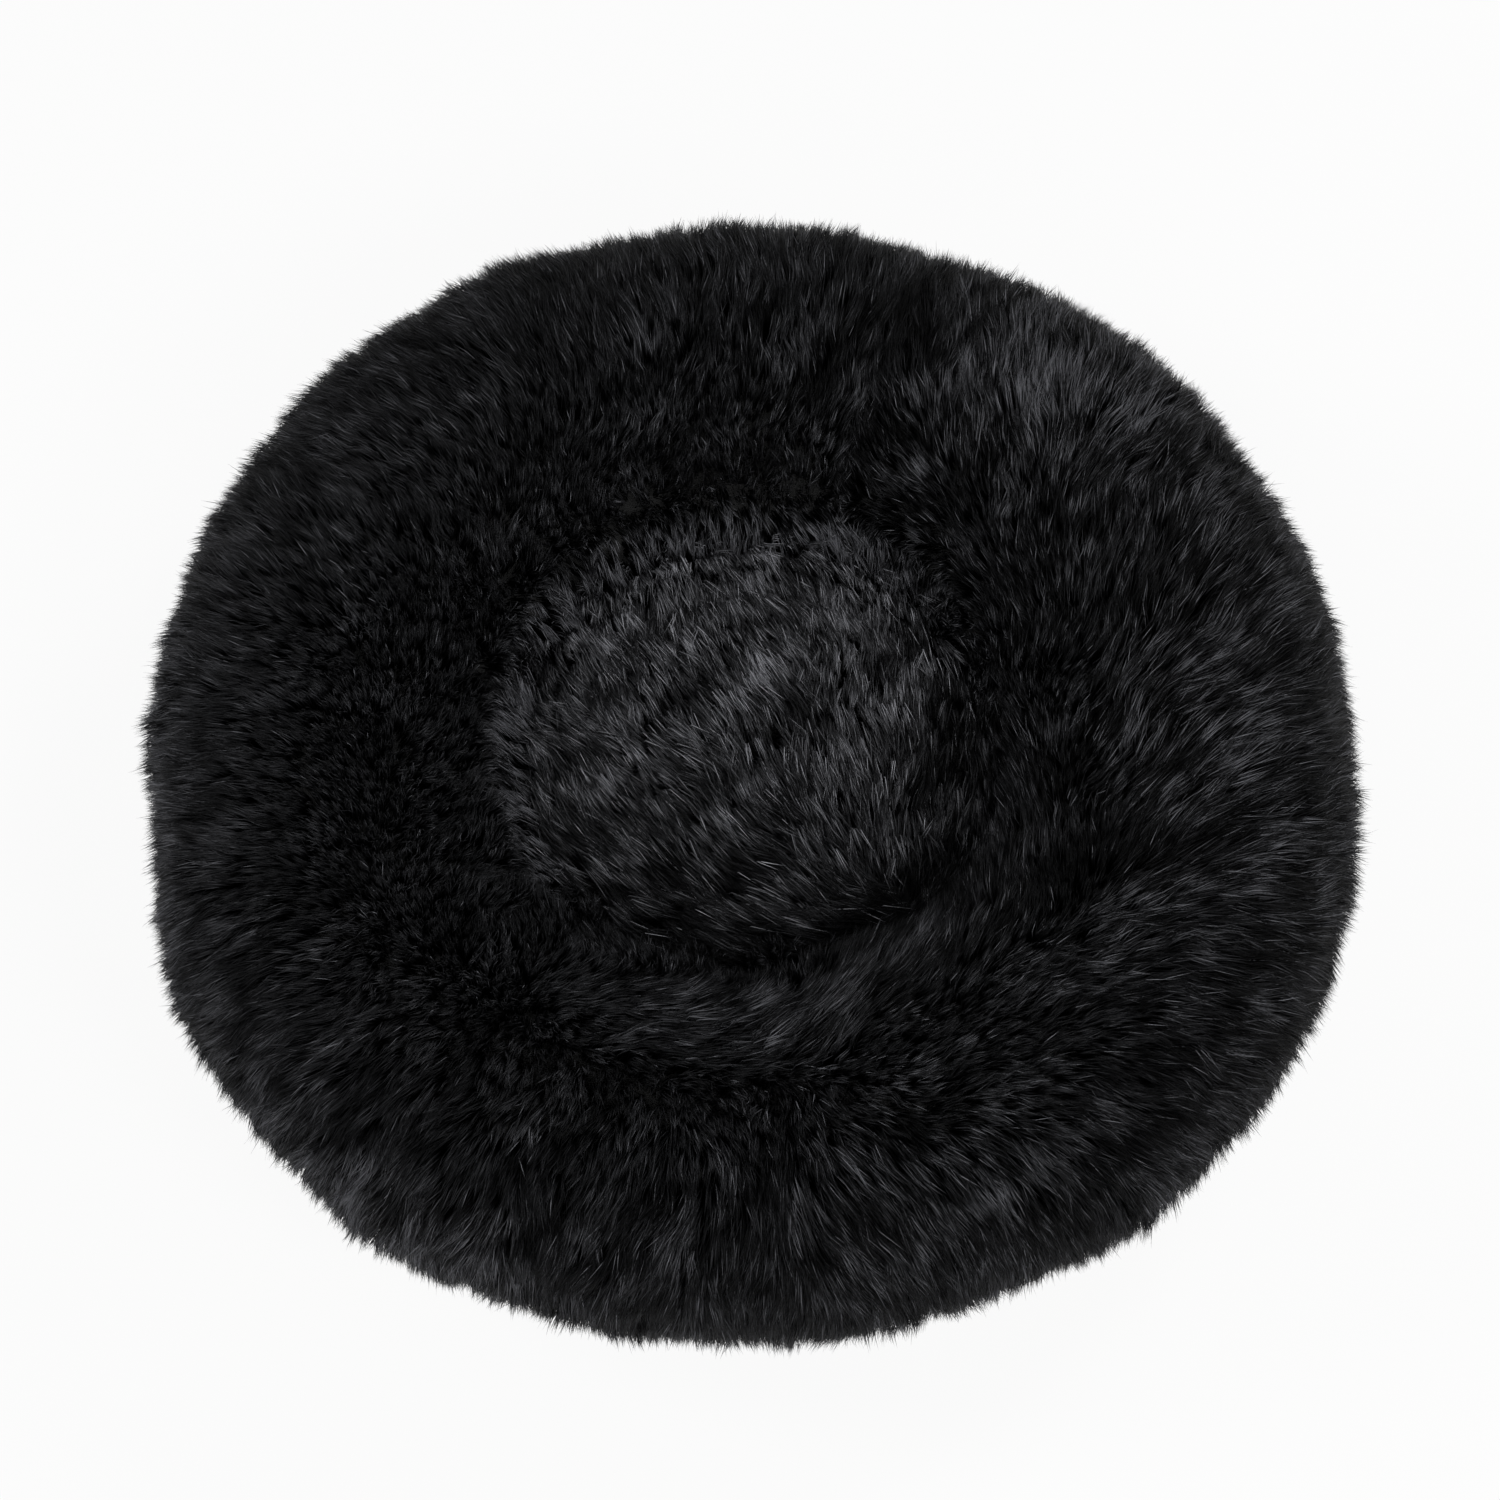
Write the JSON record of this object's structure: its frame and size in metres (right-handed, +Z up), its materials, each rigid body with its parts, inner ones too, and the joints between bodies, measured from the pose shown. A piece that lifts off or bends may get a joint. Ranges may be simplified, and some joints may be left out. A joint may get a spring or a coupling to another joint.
{
  "type": "donut pet bed",
  "caption": "Round long-pile plush pet bed: a raised stuffed ring around a soft well, with a zipped non-slip base.",
  "frame": {"origin": "middle of the flat underside, where the base rests on the floor", "axes": "+Z up; -Y is the front in the picture; +X to the right seen from the front; the zip runs along X"},
  "size_m": [0.5847, 0.5878, 0.1753],
  "materials": {
    "fur": "black long-pile faux fur with a soft cool sheen",
    "well_fur": "black long-pile faux fur, combed one way",
    "base_cloth": "black woven cloth with raised non-slip dots",
    "nonwoven": "white non-woven lining",
    "fibre": "white polyester fibre",
    "zip_tape": "black woven zip tape",
    "zip_nylon": "black nylon coil",
    "zip_metal": "dark coated die-cast metal"
  },
  "bodies": {
    "bed": {"bolster_cover_left": "fur", "bolster_cover_right": "fur", "well_fur_panel": "well_fur", "base_panel": "base_cloth", "bolster_liner": "nonwoven", "bolster_filling": "fibre", "cushion_liner": "nonwoven", "cushion_filling": "fibre", "zip_tape_front": "zip_tape", "zip_tape_rear": "zip_tape", "zip_coil_front": "zip_nylon", "zip_coil_rear": "zip_nylon", "zip_top_stop_front": "zip_metal", "zip_top_stop_rear": "zip_metal", "zip_bottom_stop": "zip_metal"},
    "slider": {"zip_slider": "zip_metal"},
    "pull_tab": {"zip_pull_tab": "zip_metal"}
  },
  "joints": [
    {"name": "slider_travel", "type": "slide", "parent": "bed", "child": "slider", "axis": [-1, 0, 0], "range_m": [0, 0.337]},
    {"name": "tab_turn", "type": "hinge", "parent": "slider", "child": "pull_tab", "pos_m": [0.16859, 0.072, 0.00305], "axis": [0, 1, 0], "range_deg": [-175, 0]}
  ]
}
